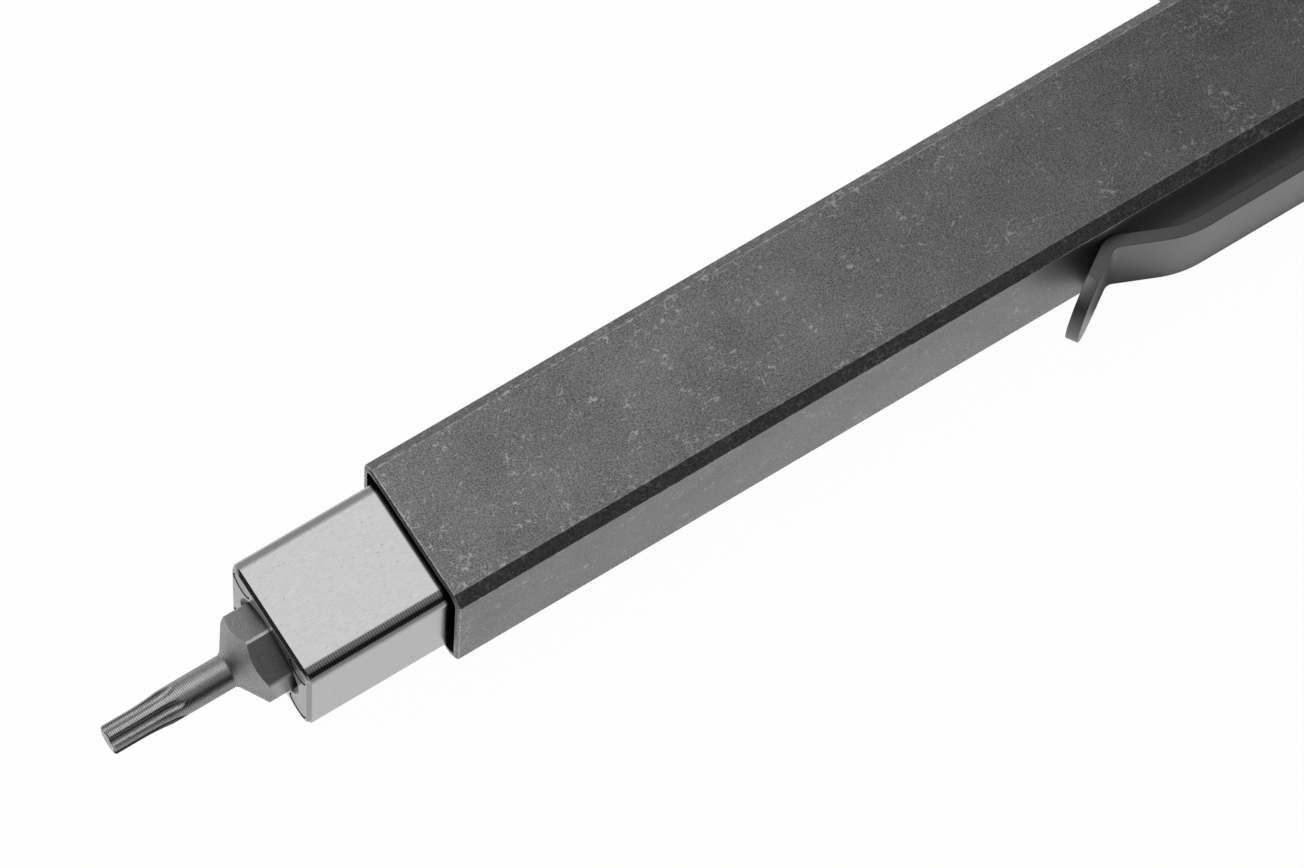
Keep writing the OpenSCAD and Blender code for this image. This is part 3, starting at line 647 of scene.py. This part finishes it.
# carriage block and its four dowels
block = {"corner": 1.15, "bevel": 0.3, "round": 0.04, "socket": 6.4, "pilot": 6.7,
         "socketDepth": 11.32, "mouth": 8.0, "mouthDepth": 0.8, "magnetHole": 5.54,
         "magnetDepth": 14.36, "dowel": 2.18, "seat": 0.02, "sink": 0.05,
         "dowelBevel": 0.12, "frontZone": 1, "cutEnds": (1, 1.2, 1.4)}
dowelLow, dowelHigh = boxOf("corner_dowels")
dowelPlace = dowelHigh.y - block["dowel"] / 2


def makeBlock():
    low, high = boxOf("bit_block")
    bm = roundBar(low, high, block["corner"], 16)
    front = [e for e in bm.edges if all(abs(v.co.x - high.x) < touch for v in e.verts)]
    bmesh.ops.bevel(bm, geom=front, offset=block["bevel"], offset_type="OFFSET", segments=1,
                    profile=0.5, affect="EDGES", material=-1)
    soften(bm, [e for e in sharpEdges(bm, 35)
                if min(v.co.x for v in e.verts) > -block["frontZone"]], block["round"], 2)
    # the cutters end at different places, so that no two of their faces fall together
    ends = [(x, 0, 0) for x in block["cutEnds"]]
    combine(bm, startRod(block["socket"] * 2 / math.sqrt(3), (-block["socketDepth"], 0, 0),
                         ends[0], 6))
    combine(bm, startRod(block["pilot"], (-block["socketDepth"], 0, 0), ends[1], 96))
    combine(bm, startRod(block["magnetHole"], (-block["magnetDepth"], 0, 0), ends[2], 96))
    lead = [(-block["mouthDepth"], 0), (-block["mouthDepth"], block["pilot"] / 2),
            (0, block["mouth"] / 2), (past, block["mouth"] / 2), (past, 0)]
    combine(bm, startTurned(lead))
    places = [(y, z) for y in (-dowelPlace, dowelPlace) for z in (-dowelPlace, dowelPlace)]
    for y, z in places:
        combine(bm, startRod(block["dowel"] + 2 * block["seat"], (low.x - past, y, z),
                             (past, y, z), 48))
    # marks the walls of the holes and the lead-in cone, painted dark: oil in the dowel seams,
    # painted shade in the socket and the cone
    oilAndPaintedShade = bm.faces.layers.float.new("oilAndPaintedShade")
    for face in bm.faces:
        middle = face.calc_center_median()
        reach = [math.hypot(middle.y, middle.z) - block["mouth"] / 2]
        reach += [math.hypot(middle.y - y, middle.z - z) - block["dowel"] / 2 - block["seat"]
                  for y, z in places]
        face[oilAndPaintedShade] = 1 if min(reach) < touch and abs(face.normal.x) < 0.9 else 0
    finishPiece(bm, "brushed_block", "carriage", blockFinish,
                ["bit_block"])


def makeDowels():
    half, bevel, end = block["dowel"] / 2, block["dowelBevel"], -block["sink"]
    profile = [(dowelLow.x, 0), (dowelLow.x, half - bevel), (dowelLow.x + bevel, half),
               (end - bevel, half), (end, half - bevel), (end, 0)]
    four = bmesh.new()
    for y in (-dowelPlace, dowelPlace):
        for z in (-dowelPlace, dowelPlace):
            addTo(four, startTurned(profile, (0, y, z), alongX, 48))
    finishPiece(four, "ground_dowels", "carriage", groundFinish,
                ["corner_dowels"])


makeBlock()
makeDowels()


# driver bit, with a hexagonal body and a six-lobe tip
bit = {"acrossFlats": 6.35, "cornerRound": 7.2, "hexEnd": 1.94, "cone": 1.5, "shaft": 2.65,
       "lobe": 2.31, "root": 1.66, "flute": 0.47, "lobeRun": 2.2, "flare": 2.5, "fluteRun": 4.3,
       "fluteSides": 40, "runout": 3.5, "runoutTurn": 45, "runoutSteps": 20, "dome": 0.08,
       "tipBevel": 0.12, "rearShare": 0.93, "rearRun": 0.13, "coneShare": 0.93,
       "coneFoot": 0.12, "coneRun": 1.1, "flareSteps": 12, "smoothAngle": 25}


def makeBit():
    low, high = boxOf("driver_bit")
    half, shaft, tip = bit["acrossFlats"] / 2, bit["shaft"] / 2, bit["lobe"] / 2
    corner, cone = bit["cornerRound"] / 2, bit["cone"]
    evenX = high.x - bit["dome"] - bit["lobeRun"]
    profile = [(low.x, 0), (low.x, half * bit["rearShare"]),
               (low.x + half * bit["rearRun"], corner), (bit["hexEnd"], corner),
               (bit["hexEnd"] + cone * bit["coneShare"], shaft + cone * bit["coneFoot"]),
               (bit["hexEnd"] + cone * bit["coneRun"], shaft)]
    for i in range(bit["flareSteps"] + 1):
        left = 1 - i / bit["flareSteps"]
        profile.append((evenX - bit["flare"] * left, tip + (shaft - tip) * left ** 2))
    profile += [(high.x - bit["dome"] - bit["tipBevel"], tip),
                (high.x - bit["dome"], tip - bit["tipBevel"]),
                (high.x - bit["dome"] / 4, tip / 2), (high.x, 0)]
    bm = startTurned(profile, steps=120)
    for i in range(6):
        side = startBox((low.x - past, half, -half * 2),
                        (bit["hexEnd"] + cone, half * 3, half * 2))
        combine(bm, moveTo(side, Matrix.Rotation(math.radians(60 * i), 4, "X")))
    # each flute runs back from the tip and then curves out of the shaft
    centre = bit["root"] / 2 + bit["flute"]
    startX = high.x - bit["fluteRun"]
    for i in range(6):
        cutter = bmesh.new()
        place = Matrix.Translation((high.x + past, centre, 0)) @ \
            Matrix.Rotation(math.pi / 2, 4, "Y")
        bmesh.ops.create_circle(cutter, segments=bit["fluteSides"], radius=bit["flute"],
                                matrix=place)
        edges = list(cutter.edges)
        made = bmesh.ops.extrude_edge_only(cutter, edges=edges)["geom"]
        verts = [g for g in made if isinstance(g, bmesh.types.BMVert)]
        bmesh.ops.translate(cutter, vec=(startX - high.x - past, 0, 0), verts=verts)
        edges = [g for g in made if isinstance(g, bmesh.types.BMEdge)
                 and all(v in verts for v in g.verts)]
        bmesh.ops.spin(cutter, geom=edges, cent=(startX, centre + bit["runout"], 0),
                       axis=(0, 0, 1), dvec=(0, 0, 0), angle=-math.radians(bit["runoutTurn"]),
                       steps=bit["runoutSteps"], use_merge=False, use_duplicate=False)
        bmesh.ops.holes_fill(cutter, edges=cutter.edges, sides=0)
        bmesh.ops.remove_doubles(cutter, verts=cutter.verts, dist=1e-4)
        bmesh.ops.recalc_face_normals(cutter, faces=cutter.faces)
        combine(bm, moveTo(cutter, Matrix.Rotation(math.radians(60 * i), 4, "X")))
    finishPiece(bm, "blasted_bit", "bit", bitFinish, ["driver_bit"],
                bit["smoothAngle"])


makeBit()


# bolt, ring, stud, knob and push rod, which are seen through the slot
bolt = {"groove": 1.3, "grooveBack": 2.0, "grooveDepth": 0.85, "round": 0.2, "rod": 6.0,
        "rodStep": 0.1, "rodEnd": 0.2, "journal": 4.0, "journalBore": 4.1, "counterbore": 7.0,
        "land": 8.03}
knob = {"dome": 0.7, "flank": 1.7, "seat": 0.02}


def makeBolt():
    low, high = boxOf("bolt_body")
    outer = high.z
    grooveX = high.x - bolt["grooveBack"]
    side = bolt["groove"] / 2
    inner = bolt["journalBore"] / 2
    landX = high.x - bolt["land"]
    profile = [(landX, inner), (high.x, inner), (high.x, outer - bolt["round"]),
               (high.x - bolt["round"], outer), (grooveX + side, outer),
               (grooveX + side, outer - bolt["grooveDepth"]),
               (grooveX - side, outer - bolt["grooveDepth"]), (grooveX - side, outer),
               (low.x + bolt["round"], outer), (low.x, outer - bolt["round"]),
               (low.x, bolt["counterbore"] / 2), (landX, bolt["counterbore"] / 2),
               (landX, inner)]
    finishPiece(startTurned(profile), "ground_bolt", "bolt", groundFinish,
                ["bolt_body"])


def makeRing():
    low, high = boxOf("bolt_ring")
    half = (high.x - low.x) / 2
    middle = (high.x + low.x) / 2
    profile = [(middle + half * math.cos(a), high.z - half + half * math.sin(a))
               for a in [math.radians(d) for d in range(0, 361, 15)]]
    finishPiece(startTurned(profile), "rubber_ring", "bolt", rubberFinish,
                ["bolt_ring"])


def makeStud():
    bm = startRod(studHigh.x - studLow.x, (studX, studLow.y, 0), (studX, studHigh.y, 0))
    finishPiece(bm, "ground_stud", "bolt", groundFinish, ["bolt_stud"])


def makeKnob():
    low, high = boxOf("bolt_knob")
    half = (high.x - low.x) / 2
    bore = (studHigh.x - studLow.x) / 2 + knob["seat"]
    bottom = studLow.y - low.y - knob["seat"]
    dome = knob["dome"]
    # measured from the knob's top, which points away from the tube
    profile = [(0, 0)] + [(dome * (1 - math.sin(a)), half - dome * (1 - math.cos(a)))
                          for a in [math.radians(d) for d in range(90, -1, -15)]]
    profile += [(dome + knob["flank"], half), (high.y - low.y, bore), (bottom, bore),
                (bottom, 0)]
    bm = startTurned(profile, (studX, low.y, 0), alongY, 64)
    finishPiece(bm, "stonewashed_knob", "bolt", tubeFinish,
                ["bolt_knob"])


def makeRod():
    low, high = boxOf("push_rod")
    shoulder = boxOf("thrust_washer")[1].x
    journal, radius = bolt["journal"] / 2, bolt["rod"] / 2
    step, end = bolt["rodStep"], bolt["rodEnd"]
    profile = [(low.x, 0), (low.x, journal), (shoulder, journal), (shoulder, radius - step),
               (shoulder + step, radius), (high.x - end, radius), (high.x, radius - end),
               (high.x, 0)]
    finishPiece(startTurned(profile), "ground_rod", "carriage",
                groundFinish, ["push_rod"])


makeBolt()
makeRing()
makeStud()
makeKnob()
makeRod()


# these nodes keep their CAD solids, inside the tube, and only get a material
inside = {"rear_buffer": rubberFinish, "rod_bushing": acetalFinish, "guide_block": blockFinish,
          "glide_pads": padFinish, "bit_magnet": magnetFinish, "rod_cross_pin": groundFinish,
          "thrust_washer": brassFinish, "bolt_washer": brassFinish, "bolt_screw": screwFinish}
for node, finish in inside.items():
    mesh = frame["nodes"][node].data
    if not mesh.materials:
        mesh.materials.append(finish)
    for i in range(len(mesh.materials)):
        mesh.materials[i] = finish
print("inside pieces finished")


def plainPlane(name, width, height, place, aim=None):
    bm = bmesh.new()
    bmesh.ops.create_grid(bm, x_segments=1, y_segments=1, size=0.5)
    bmesh.ops.scale(bm, vec=(width, height, 1), verts=bm.verts)
    mesh = bpy.data.meshes.new(name)
    turned = Matrix.Identity(4)
    if aim is not None:
        turned = (Vector(place) - Vector(aim)).to_track_quat("Z", "Y").to_matrix().to_4x4()
    bmesh.ops.transform(bm, matrix=Matrix.Translation(place) @ turned, verts=bm.verts)
    bm.to_mesh(mesh)
    bm.free()
    plane = bpy.data.objects.new(name, mesh)
    scene.collection.objects.link(plane)
    return plane


def addLamp(name, place, aim, size, watts):
    lamp = bpy.data.lights.new(name, "AREA")
    lamp.shape = "SQUARE"
    lamp.size = size
    lamp.energy = watts
    holder = bpy.data.objects.new(name, lamp)
    scene.collection.objects.link(holder)
    turned = (Vector(aim) - Vector(place)).to_track_quat("-Z", "Y").to_matrix().to_4x4()
    holder.matrix_world = Matrix.Translation(place) @ turned


def whiteToCamera(tree, other):
    # white to camera, glossy and transmission rays, and the other shader to the rest
    path = addNode(tree, "ShaderNodeLightPath")
    seen = addNode(tree, "ShaderNodeMath", {0: path.outputs["Is Camera Ray"],
                                            1: path.outputs["Is Glossy Ray"]}, operation="MAXIMUM")
    seen = addNode(tree, "ShaderNodeMath", {0: seen.outputs[0],
                                            1: path.outputs["Is Transmission Ray"]},
                   operation="MAXIMUM")
    white = addNode(tree, "ShaderNodeEmission", {"Color": (1, 1, 1, 1), "Strength": 1})
    return addNode(tree, "ShaderNodeMixShader", {0: seen.outputs[0], 1: other,
                                                 2: white.outputs[0]})


# the floor shades a small share of its white, which keeps the object's shadow
studio = {"floorShare": 0.02, "worldLight": 1.1, "floorSize": 3.0, "floorDrop": 0.00002,
          "paper": (0.9, 0.9, 0.9, 1)}

floor = plainPlane("floor", studio["floorSize"], studio["floorSize"],
                   (0, 0, sleeveLow.z * mm - studio["floorDrop"]))
floorPaint = bpy.data.materials.new("white table")
floorPaint.use_nodes = True
tree = floorPaint.node_tree
tree.nodes.clear()
paper = addNode(tree, "ShaderNodeBsdfDiffuse", {"Color": studio["paper"]})
lit = whiteToCamera(tree, paper.outputs[0])
shaded = addNode(tree, "ShaderNodeMixShader", {0: 1 - studio["floorShare"], 1: paper.outputs[0],
                                               2: lit.outputs[0]})
addNode(tree, "ShaderNodeOutputMaterial", {"Surface": shaded.outputs[0]})
floor.data.materials.append(floorPaint)

world = bpy.data.worlds.new("white room")
world.use_nodes = True
scene.world = world
tree = world.node_tree
tree.nodes.clear()
room = addNode(tree, "ShaderNodeBackground", {"Color": (1, 1, 1, 1),
                                              "Strength": studio["worldLight"]})
addNode(tree, "ShaderNodeOutputWorld",
        {"Surface": whiteToCamera(tree, room.outputs[0]).outputs[0]})


def cardPaint(name, shade):
    # a card that looks equally grey from every side
    material, tree, shader = startMaterial(name, 0.0, 1.0, "#000000")
    shader.inputs["Specular IOR Level"].default_value = 0
    shader.inputs["Emission Color"].default_value = (shade, shade, shade, 1)
    shader.inputs["Emission Strength"].default_value = 1
    return material


def addCard(name, width, height, place, aim, shade):
    # metal sees it and the camera doesn't
    card = plainPlane(name, width, height, place, aim)
    card.data.materials.append(cardPaint(name, shade))
    card.visible_camera = False


addCard("near card", 1.0, 0.36, (-0.05, 0.42, 0.17), (-0.05, 0, 0), 0.03)
addCard("low near card", 1.0, 0.19, (-0.05, 0.325, 0.38), (-0.05, 0, 0), 0.36)
addCard("high near card", 1.0, 0.29, (-0.05, 0.122, 0.485), (-0.05, 0, 0), 0.52)
addCard("far card", 1.2, 0.38, (-0.05, -0.5, 0.16), (-0.05, 0, 0), 0.66)
addCard("far sheet", 1.0, 0.46, (-0.05, -0.27, -0.006), (-0.05, -0.27, -1), 0.62)
addCard("front card", 1.0, 0.4, (0.48, -0.1, 0.2), (0, -0.1, 0), 0.03)
addCard("front sheet", 0.006, 0.024, (0.0034, 0, -0.0064), (0.0034, 0, -1), 0.7)
addCard("tail card", 0.6, 0.5, (-0.43, -0.08, 0.25), (-0.43, -0.08, 0), 0.03)
# a grey strip on the floor under the clip, a painted shadow of the clip that the tube's side
# mirrors
addCard("painted clip shadow card", 0.064, 0.004, (-0.099, 0.0087, -0.0064), (-0.099, 0.0087, -1), 0.13)
addCard("near sheet", 1.0, 0.22, (-0.05, 0.13, -0.006), (-0.05, 0.13, -1), 0.55)
addLamp("overhead lamp", (0.15, -0.25, 0.8), (-0.05, 0, 0), 0.9, 1.9)

# the camera stands where the photograph was taken from, fitted to the tube and the carriage
view = {"place": (0.103058, 0.175393, 0.608238), "aim": (-0.032181, 0.000784, 0), "roll": 5.6875,
        "lens": 245.38, "sensor": 36, "clipStart": 0.01}
camera = bpy.data.cameras.new("camera")
camera.sensor_width = view["sensor"]
camera.lens = view["lens"]
camera.clip_start = view["clipStart"]
holder = bpy.data.objects.new("camera", camera)
scene.collection.objects.link(holder)
turned = (Vector(view["aim"]) - Vector(view["place"])).to_track_quat("-Z", "Y").to_matrix()
holder.matrix_world = Matrix.Translation(view["place"]) @ turned.to_4x4() \
    @ Matrix.Rotation(math.radians(view["roll"]), 4, "Z")
scene.camera = holder
print("studio and camera ready")
